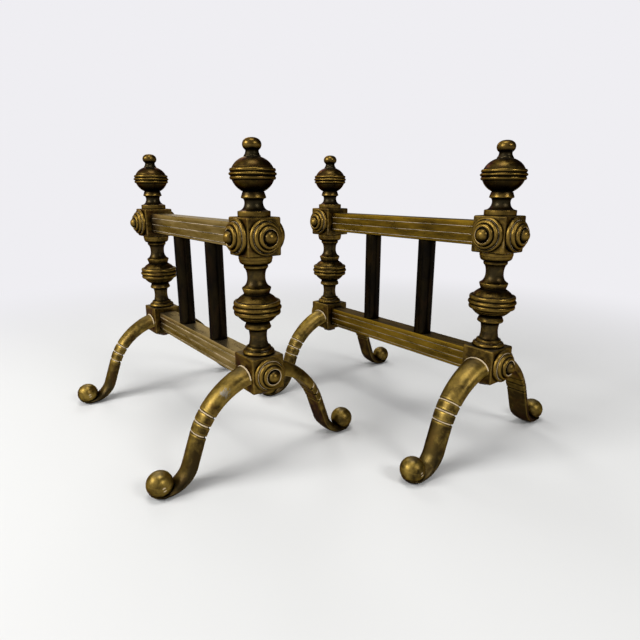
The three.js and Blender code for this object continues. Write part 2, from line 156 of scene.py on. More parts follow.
for lamp_name, (lamp_place, lamp_side, lamp_watts) in LAMPS.items():
    lamp_data = bpy.data.lights.new(lamp_name, "AREA")
    lamp_data.shape = "RECTANGLE"
    lamp_data.size = lamp_side
    lamp_data.size_y = lamp_side * LAMP_HEIGHT_SHARE
    lamp_data.energy = lamp_watts
    lamp = bpy.data.objects.new(lamp_name, lamp_data)
    lamp.location = lamp_place
    lamp.rotation_euler = (LAMP_TARGET - lamp.location).to_track_quat("-Z", "Y").to_euler()
    bpy.context.scene.collection.objects.link(lamp)


# ---- The camera ----
# Stands at the near left corner, a little above the finials, and looks down along the pair.

MM = 0.001
CAMERA_PLACE = (-238.55 * MM, -331.95 * MM, 194.65 * MM)
CAMERA_YAW = math.radians(38.06)
CAMERA_PITCH = math.radians(-14.93)
CAMERA_LENS = 27.2
CAMERA_FILM_WIDTH = 36

camera_data = bpy.data.cameras.new("photo_camera")
camera_data.lens = CAMERA_LENS
camera_data.sensor_width = CAMERA_FILM_WIDTH
camera = bpy.data.objects.new("photo_camera", camera_data)
camera.location = CAMERA_PLACE
camera.rotation_euler = (math.pi / 2 + CAMERA_PITCH, 0, -CAMERA_YAW)
bpy.context.scene.collection.objects.link(camera)
bpy.context.scene.camera = camera
bpy.context.scene.view_settings.view_transform = "Standard"


# ---- Blocks ----
# Eight one-inch cubes of cast brass with filed faces and softened edges. Each is drilled upright
# for the tie rod that draws its post together.

ANDIRONS = ("left", "right")
ENDS = ("front", "back")
BLOCK_EDGE = 1.1 * MM
EDGE_STEPS = 4
FACE_LINES = (-0.86, -0.6, -0.3, 0, 0.3, 0.6, 0.86)
EDGE_WEAR_AND_HIGHLIGHT_REACH = 1.5 * BLOCK_EDGE
EDGE_DIRT_REACH = 2.5 * MM
SHARP_ANGLE = math.radians(32)
GOLD = (0.19, 0.118, 0.022, 1)
OLIVE_BROWN = (0.03, 0.0185, 0.0045, 1)
RUDDY_BROWN = (0.06, 0.025, 0.006, 1)
GREY_BRONZE = (0.034, 0.028, 0.014, 1)
SOOT_AND_SHADE = (0.0035, 0.0025, 0.0012, 1)
DUST_AND_TOP_LIGHT = (0.2, 0.175, 0.13, 1)
POLISH_RESIDUE = (0.72, 0.58, 0.38, 1)
WORN_GREY = (0.23, 0.22, 0.19, 1)
EDGE_TINT = (0.4, 0.34, 0.2, 1)
WAX = 0.06
CLOUD_SIZE = 13 * MM
BLOTCH_SIZE = 4.5 * MM
STAIN_SIZE = 9 * MM
SPECK_SIZE = 0.9 * MM
SCRAPE_SIZE = 2.4 * MM
CREVICE_REACH = 6 * MM
DENT_DEPTH = 0.25 * MM


def mixed(tree, factor, first, second):
    """Adds a mix of two colours to a material and returns its result socket."""
    node = tree.nodes.new("ShaderNodeMix")
    node.data_type = "RGBA"
    for socket, value in (("Factor", factor), ("A", first), ("B", second)):
        if isinstance(value, bpy.types.NodeSocket):
            tree.links.new(value, node.inputs[socket])
        else:
            node.inputs[socket].default_value = value
    return node.outputs["Result"]


def spread(tree, value, low, high, out_low=0.0, out_high=1.0):
    """Eases a value from one range to another, held at the ends. It falls where `low` is over `high`
    or `out_low` over `out_high`."""
    node = tree.nodes.new("ShaderNodeMapRange")
    node.interpolation_type = "SMOOTHSTEP"
    tree.links.new(value, node.inputs["Value"])
    node.inputs["From Min"].default_value = low
    node.inputs["From Max"].default_value = high
    node.inputs["To Min"].default_value = out_low
    node.inputs["To Max"].default_value = out_high
    return node.outputs["Result"]


def combined(tree, operation, first, second):
    """Joins two values, each a socket or a number, by a step of arithmetic."""
    node = tree.nodes.new("ShaderNodeMath")
    node.operation = operation
    for index, value in enumerate((first, second)):
        if isinstance(value, bpy.types.NodeSocket):
            tree.links.new(value, node.inputs[index])
        else:
            node.inputs[index].default_value = value
    return node.outputs["Value"]


def mottle(tree, size, detail=5.0, stretch=(1, 1, 1), distortion=0.0):
    """Cloudy patches of about the given size, in metres, longer where the stretch is small."""
    place = tree.nodes.new("ShaderNodeTexCoord")
    mapping = tree.nodes.new("ShaderNodeMapping")
    mapping.inputs["Scale"].default_value = stretch
    noise = tree.nodes.new("ShaderNodeTexNoise")
    noise.inputs["Scale"].default_value = 1 / size
    noise.inputs["Detail"].default_value = detail
    noise.inputs["Roughness"].default_value = 0.6
    noise.inputs["Distortion"].default_value = distortion
    tree.links.new(place.outputs["Object"], mapping.inputs["Vector"])
    tree.links.new(mapping.outputs["Vector"], noise.inputs["Vector"])
    return noise.outputs["Fac"]


def painted(tree, name):
    """A value stored on the mesh's points."""
    node = tree.nodes.new("ShaderNodeAttribute")
    node.attribute_name = name
    return node.outputs["Fac"]


def old_brass(
    name, gold=GOLD, brown=OLIVE_BROWN, tarnish=0.5, streak=(1, 1, 1), rough=(0.26, 0.44),
    under=0.9, ruddy=0.45, rub_and_highlight=0.6, grime_and_shade=0.92, swing=0.17, dents=0.2,
):
    """Brass gone brown with age under old wax: golden on the worn crests, with painted highlight there,
    black with dirt and painted shade in the hollows and with painted shade underneath, with pale dried
    polish in the cut lines.

    The mesh's points carry the marks that it reads: `relief` is how far a point stands out from what
    is close round it, `girth` the same over a long reach, `residue` how much polish dried there, and
    `scuff` how much it is scraped. `tarnish` is how far the brown has taken over from the gold and
    `swing` how softly they meet. `streak` draws the patches out, and `rough` is the least and the
    most roughness of the open surface. The others are strengths: `under` of the painted shade
    underneath, `ruddy` of the red stains, `rub_and_highlight` of the wear and painted highlight on the
    crests, `grime_and_shade` of the dirt and painted shade in the hollows and `dents` of the bump.
    """
    material = bpy.data.materials.new(name)
    material.use_nodes = True
    tree = material.node_tree
    shader = tree.nodes["Principled BSDF"]
    clouds = mottle(tree, CLOUD_SIZE, 6.0, streak)
    blotches = mottle(tree, BLOTCH_SIZE, 5.0, streak, 0.4)
    stains = mottle(tree, STAIN_SIZE, 4.0, streak, 0.8)
    specks = mottle(tree, SPECK_SIZE, 3.0, streak)
    scrapes = mottle(tree, SCRAPE_SIZE, 4.0, (1, 1, 1), 1.6)
    relief = painted(tree, "relief")
    girth = painted(tree, "girth")
    shape = tree.nodes.new("ShaderNodeNewGeometry")
    split = tree.nodes.new("ShaderNodeSeparateXYZ")
    tree.links.new(shape.outputs["Normal"], split.inputs["Vector"])
    upward = split.outputs["Z"]

    # The bare metal: brown and gold patches, more golden where it is thick, with red stains, and greyer
    # where it is thin over a long reach.
    cloudy = combined(tree, "MULTIPLY", clouds, 0.6)
    cloudy = combined(tree, "ADD", cloudy, combined(tree, "MULTIPLY", blotches, 0.4))
    cloudy = combined(tree, "ADD", cloudy, combined(tree, "MULTIPLY", girth, 0.11))
    tone = spread(tree, cloudy, tarnish - swing, tarnish + swing)
    colour = mixed(tree, tone, brown, gold)
    colour = mixed(tree, spread(tree, stains, 0.48, 0.68, 0, ruddy), colour, RUDDY_BROWN)
    colour = mixed(tree, spread(tree, girth, -0.15, -0.7, 0, 0.75), colour, GREY_BRONZE)

    # Dust with painted light on top, crests bright with wear and painted highlight, hollows dark with dirt
    # and painted shade, painted shade underneath and in crevices, and dark pits.
    # Pale dust on faces that look up, which is also painted light on the tops.
    dust_and_top_light = spread(tree, upward, 0.8, 0.99, 0, 0.28)
    colour = mixed(tree, dust_and_top_light, colour, DUST_AND_TOP_LIGHT)
    # Rubbed wear and painted highlight: the crests go towards a brighter gold.
    wear_and_highlight = spread(tree, relief, 0.05, 0.75, 0, rub_and_highlight)
    worn_and_lit_gold = tuple(min(1, channel * 1.3) for channel in gold[:3]) + (1,)
    colour = mixed(tree, wear_and_highlight, colour, worn_and_lit_gold)
    # Dirt and painted shade: the hollows and cut lines go towards black.
    hollow_grime_and_shade = spread(tree, relief, -0.05, -0.8, 0, grime_and_shade)
    colour = mixed(tree, hollow_grime_and_shade, colour, SOOT_AND_SHADE)
    # Painted shade: faces that look down go towards black.
    painted_underside_shade = spread(tree, upward, -0.05, -0.75, 0, under)
    colour = mixed(tree, painted_underside_shade, colour, SOOT_AND_SHADE)
    # Painted shade: the colour goes towards black where ambient occlusion finds surfaces close by.
    crevice = tree.nodes.new("ShaderNodeAmbientOcclusion")
    crevice.inputs["Distance"].default_value = CREVICE_REACH
    crevice.samples = 8
    shaded = spread(tree, crevice.outputs["AO"], 0.3, 0.85, 0.88, 0)
    colour = mixed(tree, shaded, colour, SOOT_AND_SHADE)
    pits = spread(tree, specks, 0.62, 0.74, 0, 0.5)
    colour = mixed(tree, pits, colour, SOOT_AND_SHADE)

    # Dried polish that has partly flaked away, and scraped patches.
    flaked = combined(tree, "ADD", painted(tree, "residue"), combined(tree, "MULTIPLY", blotches, 0.7))
    lodged = spread(tree, flaked, 0.75, 1.05, 0, 0.85)
    colour = mixed(tree, lodged, colour, POLISH_RESIDUE)
    scraped = combined(tree, "ADD", combined(tree, "MULTIPLY", painted(tree, "scuff"), 0.6), scrapes)
    colour = mixed(tree, spread(tree, scraped, 0.8, 0.98, 0, 0.75), colour, WORN_GREY)
    tree.links.new(colour, shader.inputs["Base Color"])
    shader.inputs["Specular Tint"].default_value = EDGE_TINT

    # The wax coat shines where there is neither soot nor painted shade, and chalk, dust and the painted top
    # light aren't metal.
    soot_and_shade_mask = combined(tree, "MAXIMUM", combined(tree, "MAXIMUM", hollow_grime_and_shade, painted_underside_shade), shaded)
    tree.links.new(spread(tree, soot_and_shade_mask, 0, 0.8, WAX, 0), shader.inputs["Coat Weight"])
    shader.inputs["Coat Roughness"].default_value = 0.3
    chalk_dust_and_top_light = combined(tree, "MAXIMUM", lodged, dust_and_top_light)
    tree.links.new(spread(tree, chalk_dust_and_top_light, 0, 1, 1.0, 0.2), shader.inputs["Metallic"])
    gloss = spread(tree, blotches, 0.3, 0.7, rough[0], rough[1])
    dulled = combined(tree, "MULTIPLY", combined(tree, "MAXIMUM", hollow_grime_and_shade, lodged), 0.35)
    gloss = combined(tree, "ADD", gloss, dulled)
    tree.links.new(gloss, shader.inputs["Roughness"])

    grain = combined(tree, "ADD", combined(tree, "MULTIPLY", specks, 0.3), blotches)
    bump = tree.nodes.new("ShaderNodeBump")
    bump.inputs["Strength"].default_value = dents
    bump.inputs["Distance"].default_value = DENT_DEPTH
    tree.links.new(grain, bump.inputs["Height"])
    tree.links.new(bump.outputs["Normal"], shader.inputs["Normal"])
    return material


def finish_piece(name, node, mesh, material):
    """Puts a finished mesh in the scene in place of its CAD node."""
    mesh.materials.clear()
    mesh.materials.append(material)
    piece = bpy.data.objects.new(name, mesh)
    bpy.context.scene.collection.objects.link(piece)
    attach(piece, "root")
    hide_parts(node)


def put_marks(mesh, marks):
    """Stores named values on a mesh's points, for the brass to read."""
    for mark, values in marks.items():
        layer = mesh.attributes.new(mark, "FLOAT", "POINT")
        layer.data.foreach_set("value", values)


def mesh_with_marks(name, points, faces, marks):
    """Makes a mesh whose points carry marks, smooth-shaded apart from its sharp corners."""
    mesh = bpy.data.meshes.new(name)
    mesh.from_pydata(points, [], faces)
    put_marks(mesh, marks)
    mesh.validate()
    mesh.shade_smooth()
    mesh.set_sharp_from_angle(angle=SHARP_ANGLE)
    return mesh


def block_mesh(name, low, high):
    """A cube with rounded edges, its faces ruled finely near the edges to hold the edge wear and painted
    highlight.
    """
    centre = (low + high) / 2
    half = (high.x - low.x) / 2
    flat = half - BLOCK_EDGE
    turns = [math.pi / 4 * i / EDGE_STEPS for i in range(1, EDGE_STEPS + 1)]
    round_lines = [flat + BLOCK_EDGE * math.tan(turn) for turn in turns]
    flat_lines = [share * flat for share in (-1,) + FACE_LINES + (1,)]
    lines = [-line for line in reversed(round_lines)] + flat_lines + round_lines
    body = bmesh.new()
    grid = {}

    def corner(x, y, z):
        key = (round(x, 7), round(y, 7), round(z, 7))
        if key not in grid:
            raw = Vector((x, y, z))
            inner = Vector([max(-flat, min(flat, c)) for c in raw])
            out = raw - inner
            grid[key] = body.verts.new(centre + inner + out.normalized() * BLOCK_EDGE)
        return grid[key]

    for axis in range(3):
        for side in (-1, 1):
            for u0, u1 in zip(lines, lines[1:]):
                for v0, v1 in zip(lines, lines[1:]):
                    ring = []
                    for u, v in ((u0, v0), (u1, v0), (u1, v1), (u0, v1)):
                        place = [0, 0, 0]
                        place[axis] = side * half
                        place[(axis + 1) % 3] = u
                        place[(axis + 2) % 3] = v
                        ring.append(corner(*place))
                    body.faces.new(ring if side > 0 else ring[::-1])
    mesh = bpy.data.meshes.new(name)
    body.to_mesh(mesh)
    body.free()
    marks = {"relief": [], "residue": []}
    for vertex in mesh.vertices:
        # The second least distance to the sides is the distance to the nearest edge.
        to_edge = sorted(half - abs(c) for c in (vertex.co - centre))[1]
        # Points near an edge are marked for wear and painted highlight.
        marks["relief"].append(max(0.0, 0.55 * (1 - to_edge / EDGE_WEAR_AND_HIGHLIGHT_REACH)))
        wiped = max(0.0, vertex.co.z - centre.z) / half * 0.3
        marks["residue"].append(max(0.0, 0.5 * (1 - to_edge / EDGE_DIRT_REACH) - wiped))
    put_marks(mesh, marks)
    mesh.shade_smooth()
    return mesh


block_brass = old_brass("block_brass", tarnish=0.52, rough=(0.34, 0.55), ruddy=0.7, swing=0.12)
for andiron in ANDIRONS:
    for end in ENDS:
        for level in ("lower", "upper"):
            node = f"{andiron}_{end}_{level}_block"
            low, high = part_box(node)
            finish_piece(f"{node}_cast", node, block_mesh(node, low, high), block_brass)


# ---- Columns ----
# One turned brass baluster between the two blocks of each post: base ring, hollow neck, collar,
# a bulb with three raised bands, a sharp ring, a second neck and a disc under the upper block.

TURNED_SIDES = 96
BAND_POINTS = 8
BAND_FULLNESS = 0.6
# A crest that stands this high over what lies within its reach is made bright, with rubbed wear and painted
# highlight. A part that stands out by the girth height counts as thick, and polish spreads this far from
# where it lodged.
CREST_REACH = 1.6
CREST_HEIGHT = 0.38
GIRTH_HEIGHT = 3.0
CHALK_REACH = 0.3
# Corners that turn less than this are left as they are, and a rounding takes at most this share.
SOFT_CORNER = math.radians(24)
MOST_CUT = 0.45


def stand_out(outline, reach):
    """How far each point of an outline stands out from the outline smoothed over a reach."""
    count = len(outline)
    walked = [0.0]
    for (r0, z0), (r1, z1) in zip(outline, outline[1:]):
        walked.append(walked[-1] + math.hypot(r1 - r0, z1 - z0))
    lifts = []
    for i, (radius, height) in enumerate(outline):
        weights = across = up = 0.0
        for j, (other_radius, other_height) in enumerate(outline):
            step = (walked[min(j + 1, count - 1)] - walked[max(j - 1, 0)]) / 2
            weight = math.exp(-((walked[j] - walked[i]) / reach) ** 2) * step
            weights += weight
            across += other_radius * weight
            up += other_height * weight
        before = outline[max(i - 1, 0)]
        after = outline[min(i + 1, count - 1)]
        run = Vector((after[0] - before[0], after[1] - before[1]))
        outward = Vector((run.y, -run.x)).normalized() if run.length > 0 else Vector((1, 0))
        lifts.append(Vector((radius - across / weights, height - up / weights)).dot(outward))
    return lifts


def turned_mesh(name, outline, foot, sides=TURNED_SIDES, turn=None, chalk=(), girth_reach=9.0):
    """Revolves an outline of (radius, height) in millimetres about the axis that stands on `foot`.
    `turn` tips the axis over, and `chalk` lists (radius, height, amount) of lodged dried polish."""
    fine = [max(-1.0, min(1.0, lift / CREST_HEIGHT)) for lift in stand_out(outline, CREST_REACH)]
    broad = [max(-1.0, min(1.0, lift / GIRTH_HEIGHT)) for lift in stand_out(outline, girth_reach)]
    place = Matrix.Translation(foot) @ (turn or Matrix.Identity(4))
    points = []
    marks = {"relief": [], "girth": [], "residue": []}
    rows = []
    for (radius, height), lift, wide in zip(outline, fine, broad):
        lodged = 0.0
        for chalk_radius, chalk_height, amount in chalk:
            away = math.hypot(radius - chalk_radius, height - chalk_height)
            lodged = max(lodged, amount * math.exp(-(away / CHALK_REACH) ** 2))
        row = []
        for side in range(1 if radius < 1e-4 else sides):
            angle = 2 * math.pi * side / sides
            row.append(len(points))
            spot = Vector((radius * math.cos(angle), radius * math.sin(angle), height))
            points.append(place @ (spot * MM))
            marks["relief"].append(lift)
            marks["girth"].append(wide)
            marks["residue"].append(lodged)
        rows.append(row)
    faces = []
    for lower, upper in zip(rows, rows[1:]):
        for side in range(sides):
            after = (side + 1) % sides
            corners = ((lower, side), (lower, after), (upper, after), (upper, side))
            quad = [row[step % len(row)] for row, step in corners]
            # A row on the axis is one point, which makes this a triangle.
            faces.append([point for i, point in enumerate(quad) if quad.index(point) == i])
    return mesh_with_marks(name, points, faces, marks)


def eased(outline, ease=0.28, steps=3):
    """Rounds each real corner of an outline, as filing and polishing do. Millimetres."""
    done = [outline[0]]
    for before, corner, after in zip(outline, outline[1:], outline[2:]):
        into = Vector((corner[0] - before[0], corner[1] - before[1]))
        out = Vector((after[0] - corner[0], after[1] - corner[1]))
        if into.length < 1e-6 or out.length < 1e-6 or into.angle(out) < SOFT_CORNER:
            done.append(corner)
            continue
        cut = min(ease, into.length * MOST_CUT, out.length * MOST_CUT)
        start = Vector(corner) - into.normalized() * cut
        end = Vector(corner) + out.normalized() * cut
        for i in range(steps + 1):
            t = i / steps
            point = start * (1 - t) ** 2 + Vector(corner) * 2 * t * (1 - t) + end * t ** 2
            done.append((point.x, point.y))
    done.append(outline[-1])
    return done


def swept(start, end, bend, steps=8):
    """The points after `start` on a curve to `end` that leans towards the point `bend`. Millimetres."""
    points = []
    for i in range(1, steps + 1):
        t = i / steps
        pulls = ((start, (1 - t) ** 2), (bend, 2 * t * (1 - t)), (end, t ** 2))
        points.append(tuple(sum(point[k] * pull for point, pull in pulls) for k in (0, 1)))
    return points


def oval(radius, depth, middle, low, high, steps=12, fullness=1.0):
    """Part of an oval between two heights from its middle, squarer where `fullness` is under 1."""
    first = math.asin(low / depth)
    last = math.asin(high / depth)
    turns = [first + (last - first) * i / steps for i in range(steps + 1)]
    return [(radius * math.cos(t) ** fullness, middle + depth * math.sin(t)) for t in turns]


def scored(points, heights, depth=0.3, half=0.4):
    """Cuts fine lines into part of an outline, at the given heights."""
    done = []
    for radius, height in points:
        nearest = min(abs(height - line) for line in heights)
        done.append((radius - depth * max(0.0, 1 - nearest / half), height))
    return done


def bands(middle, half, valley, crowns):
    """A stack of rounded bands, one for each crown radius, from -half to half. Millimetres."""
    points = []
    width = 2 * half / len(crowns)
    for index, crown in enumerate(crowns):
        bottom = middle - half + index * width
        for i in range(BAND_POINTS):
            t = (i + 0.5) / BAND_POINTS
            swell = math.sin(math.pi * t) ** BAND_FULLNESS
            points.append((valley + (crown - valley) * swell, bottom + width * t))
    return points


def foot_of(node):
    """The middle of the underside of a node's box, where a turned piece stands."""
    low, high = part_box(node)
    return Vector(((low.x + high.x) / 2, (low.y + high.y) / 2, low.z))


COLUMN_HEIGHT = 69.2
COLUMN_BULB_MIDDLE = 33.4
column_outline = eased(
    [(0, 0), (10.3, 0)]
    + swept((10.3, 0), (10.3, 3.0), (12.1, 1.5))
    + [(9.6, 3.3), (8.9, 4.0), (8.7, 5.2), (7.1, 5.9)]
    + swept((7.1, 5.9), (6.7, 17.4), (5.2, 11.6))
    + [(7.6, 17.9)]
    + swept((7.6, 17.9), (9.3, 19.6), (9.3, 18.5), 4)
    + [(8.2, 22.4), (8.2, 23.0)]
    + scored(oval(15.6, 12.2, COLUMN_BULB_MIDDLE, -10.3, -4.9, 27), (26.0, 27.4))
    + bands(COLUMN_BULB_MIDDLE, 4.9, 15.4, (16.2, 16.9, 16.2))
    + oval(15.6, 11.2, COLUMN_BULB_MIDDLE, 4.9, 9.25)
    + [(8.9, 42.7), (8.9, 43.6), (9.2, 44.2), (10.0, 46.8), (9.9, 47.3)]
    + swept((9.9, 47.3), (6.2, 53.7), (6.5, 48.9))
    + swept((6.2, 53.7), (8.0, 60.7), (6.1, 59.0))
    + [(8.3, 61.1), (8.3, 63.0)]
    + swept((8.3, 63.0), (11.2, 66.7), (11.3, 63.6))
    + [(11.5, 66.9), (11.5, COLUMN_HEIGHT), (0, COLUMN_HEIGHT)]
)

COLUMN_CHALK = ((11.0, 0.3, 0.8), (9.6, 3.3, 0.5))
column_brass = old_brass("column_brass", tarnish=0.55, streak=(1, 1, 1.5), rough=(0.26, 0.42), rub_and_highlight=0.25)
for andiron in ANDIRONS:
    for end in ENDS:
        node = f"{andiron}_{end}_column"
        mesh = turned_mesh(node, column_outline, foot_of(node), chalk=COLUMN_CHALK)
        finish_piece(f"{node}_turned", node, mesh, column_brass)


# ---- Finials ----
# The turned knob that screws down on each post: foot disc, hollow neck, collar, a squat banded
# bulb, a thin throat and a small flattened ball. Solid brass, bright where it stands out, with rubbed
# wear and painted highlight.

FINIAL_BULB_MIDDLE = 27.0
FINIAL_BALL_MIDDLE = 45.0
FINIAL_BALL_RISE = 4.4
# An oval that runs up to its crown stops this far under it, short of the point on the axis.
CROWN_GAP = 0.0001
finial_outline = eased(
    [(0, 0), (10.7, 0), (10.9, 0.4), (10.9, 3.4), (10.6, 3.7), (9.4, 3.9)]
    + swept((9.4, 3.9), (6.1, 8.9), (6.4, 5.1))
    + swept((6.1, 8.9), (6.9, 11.4), (6.1, 10.5), 4)
    + [(8.2, 11.9), (8.3, 12.4), (7.3, 15.5), (6.9, 16.0)]
    + oval(14.3, 12.6, FINIAL_BULB_MIDDLE, -10.9, -3.7)
    + bands(FINIAL_BULB_MIDDLE, 3.7, 14.1, (15.0, 15.6, 15.0))
    + oval(14.3, 11.5, FINIAL_BULB_MIDDLE, 3.7, 10.6)
    + [(5.5, 37.6), (5.5, 38.2)]
    + swept((5.5, 38.2), (4.3, 41.5), (4.2, 39.6), 6)
    + oval(6.2, FINIAL_BALL_RISE, FINIAL_BALL_MIDDLE, -3.2, FINIAL_BALL_RISE - CROWN_GAP, 18, 0.82)
    + [(0, FINIAL_BALL_MIDDLE + FINIAL_BALL_RISE)]
)

finial_brass = old_brass("finial_brass", tarnish=0.62, streak=(1, 1, 1.6), rough=(0.24, 0.4), rub_and_highlight=0.35)
for andiron in ANDIRONS:
    for end in ENDS:
        node = f"{andiron}_{end}_finial"
        mesh = turned_mesh(node, finial_outline, foot_of(node))
        finish_piece(f"{node}_turned", node, mesh, finial_brass)


# ---- Roundels ----
# Turned brass bosses pinned to the free faces of the blocks: three rounded rings that step up to
# a domed middle, with dried polish lodged in the creases between them.

ROUNDEL_BOSS_BASE = 6.2
ROUNDEL_BOSS_RISE = 3.8
roundel_outline = eased(
    [(0, 0), (11.8, 0), (12.1, 0.4), (12.1, 1.2)]
    + swept((12.1, 1.2), (10.6, 2.5), (12.0, 2.6), 5)
    + [(10.2, 2.2), (10.0, 2.5), (10.0, 3.3)]
    + swept((10.0, 3.3), (8.2, 4.8), (9.9, 4.9), 5)
    + [(7.7, 4.4), (7.5, 4.7), (7.5, 5.6)]
    + swept((7.5, 5.6), (5.7, 6.7), (7.3, 6.8), 5)
    + [(5.2, 6.2), (4.8, 5.7), (4.4, 6.1)]
    + oval(4.4, ROUNDEL_BOSS_RISE, ROUNDEL_BOSS_BASE, 0.1, ROUNDEL_BOSS_RISE - CROWN_GAP, 10)
    + [(0, ROUNDEL_BOSS_BASE + ROUNDEL_BOSS_RISE)],
    ease=0.14,
    steps=2,
)

ROUNDEL_SIDES = 72
ROUNDEL_GIRTH_REACH = 30.0
ROUNDEL_CHALK = ((5.6, 6.6), (10.1, 2.3))
LOW_CHALK = 1.0
HIGH_CHALK = 0.6

roundel_brass = old_brass("roundel_brass", tarnish=0.54, rough=(0.3, 0.46), rub_and_highlight=0.35, grime_and_shade=0.5)
for andiron in ANDIRONS:
    outward = -1 if andiron == "left" else 1
    for end in ENDS:
        along = -1 if end == "front" else 1
        faced_ways = {
            "lower_end": (0, along, 0),
            "upper_end": (0, along, 0),
            "upper_outer": (outward, 0, 0),
            "upper_inner": (-outward, 0, 0),
        }
        for face, way in faced_ways.items():
            node = f"{andiron}_{end}_{face}_roundel"
            low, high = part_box(node)
            direction = Vector(way)
            middle = (low + high) / 2
            foot = middle - direction * (high - low).dot(Vector([abs(c) for c in direction])) / 2
            turn = direction.to_track_quat("Z", "Y").to_matrix().to_4x4()
            amount = LOW_CHALK if face == "lower_end" else HIGH_CHALK
            chalk = [(radius, height, amount) for radius, height in ROUNDEL_CHALK]
            mesh = turned_mesh(node, roundel_outline, foot, ROUNDEL_SIDES, turn, chalk, ROUNDEL_GIRTH_REACH)
            finish_piece(f"{node}_turned", node, mesh, roundel_brass)


# ---- Rails ----
# Two flat brass bars between the posts, scored with three lines along each side. The bars are
# drawn, so their tarnish runs in streaks along the length.

RAIL_LENGTH = 161 * MM
RAIL_EDGE = 0.5
RAIL_LINES = (-6.5, -1.0, 4.5)
RAIL_LINE_HALF = 0.6
RAIL_LINE_DEPTH = 0.6
RAIL_LINE_FLOOR = (-0.1, 0.2)
RAIL_LINE_LIP = 0.5
RAIL_TOP_WEAR = 1.6
RAIL_CHALK = 0.62
RAIL_STATIONS = 60


def rail_section(half_width, half_height):
    """The bar's outline across, in millimetres, with a mark for how far each point stands out. The lower
    lip of each line is marked higher than the upper one, as painted highlight where light from above
    catches it.
    """
    right = [(half_width - RAIL_EDGE, -half_height, 0.0), (half_width, -half_height + RAIL_EDGE, 0.8)]
    for line in RAIL_LINES:
        right.append((half_width, line - RAIL_LINE_HALF - RAIL_LINE_LIP, 0.0))
        # Painted highlight: the lower lip takes a higher mark than the upper one, as if lit from above.
        right.append((half_width, line - RAIL_LINE_HALF, 0.9))
        for off_middle in RAIL_LINE_FLOOR:
            right.append((half_width - RAIL_LINE_DEPTH, line + off_middle, -1.0))
        right.append((half_width, line + RAIL_LINE_HALF, 0.5))
        right.append((half_width, line + RAIL_LINE_HALF + RAIL_LINE_LIP, 0.0))
    right.append((half_width, half_height - RAIL_EDGE, 0.8))
    right.append((half_width - RAIL_EDGE, half_height, 0.8))
    right.append((half_width - RAIL_TOP_WEAR, half_height, 0.0))
    left = [(-x, z, mark) for x, z, mark in reversed(right)]
    return right + left


def rail_mesh(name, low, high):
    """The stretch of a bar that shows between the blocks, in the middle of its node's box."""
    centre = (low + high) / 2
    half_width = (high.x - low.x) / 2 / MM
    half_height = (high.z - low.z) / 2 / MM
    section = rail_section(half_width, half_height)
    points = []
    marks = {"relief": [], "residue": []}
    for station in range(RAIL_STATIONS + 1):
        y = centre.y - RAIL_LENGTH / 2 + RAIL_LENGTH * station / RAIL_STATIONS
        for x, z, mark in section:
            points.append((centre.x + x * MM, y, centre.z + z * MM))
            marks["relief"].append(max(-0.6, mark))
            marks["residue"].append(RAIL_CHALK if mark < 0 else 0.0)
    count = len(section)
    faces = [list(range(count)), list(range(RAIL_STATIONS * count, (RAIL_STATIONS + 1) * count))[::-1]]
    for station in range(RAIL_STATIONS):
        first = station * count
        for i in range(count):
            after = (i + 1) % count
            faces.append([first + i, first + count + i, first + count + after, first + after])
    return mesh_with_marks(name, points, faces, marks)


# Each andiron's gold and brown: the left pair of rails is paler and greyer than the right, partly their own
# tone and partly painted reflection of the light from the left.
RAIL_TONES = {
    "left": ((0.34, 0.245, 0.11, 1), (0.14, 0.098, 0.038, 1)),
    "right": ((0.25, 0.148, 0.012, 1), (0.06, 0.036, 0.004, 1)),
}
for andiron in ANDIRONS:
    rail_gold, rail_brown = RAIL_TONES[andiron]
    rail_brass = old_brass(
        f"{andiron}_rail_brass", rail_gold, rail_brown,
        streak=(1, 0.2, 1), rough=(0.24, 0.4), ruddy=0.2, dents=0.08,
    )
    for level in ("top", "bottom"):
        node = f"{andiron}_{level}_rail"
        finish_piece(f"{node}_bar", node, rail_mesh(node, *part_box(node)), rail_brass)


# ---- Spindles ----
# Two plain round brass bars between the rails of each andiron, nearly black: their own darkening
# with painted dark reflection of the room. The thin spigots at their ends are sunk in the rails, so
# only the bars are made here.

SPIGOT = 5.0
SPINDLE_SIDES = 48
SPINDLE_STEPS = 12
SPINDLE_EDGE = 0.35
# Near black, partly painted dark reflection.
NEAR_BLACK_GOLD = (0.014, 0.009, 0.002, 1)
NEAR_BLACK_BROWN = (0.003, 0.002, 0.001, 1)

spindle_brass = old_brass(
    "spindle_brass", NEAR_BLACK_GOLD, NEAR_BLACK_BROWN,
    tarnish=0.55, streak=(1, 1, 0.3), rough=(0.22, 0.36), ruddy=0.1,
)
for andiron in ANDIRONS:
    for end in ENDS:
        node = f"{andiron}_{end}_spindle"
        low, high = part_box(node)
        radius = (high.x - low.x) / 2 / MM
        tall = (high.z - low.z) / MM
        shown = tall - 2 * SPIGOT
        outline = [(0, SPIGOT), (radius, SPIGOT)]
        outline += [(radius, SPIGOT + shown * i / SPINDLE_STEPS) for i in range(1, SPINDLE_STEPS)]
        outline += [(radius, tall - SPIGOT), (0, tall - SPIGOT)]
        mesh = turned_mesh(node, eased(outline, SPINDLE_EDGE), foot_of(node), SPINDLE_SIDES)
        finish_piece(f"{node}_bar", node, mesh, spindle_brass)


# ---- Legs ----
# Cast brass legs, flat underneath and rounded above, tenoned into the sides of the lower blocks.
# Each arches down, carries three cut rings, sweeps out and runs into the underside of a ball.

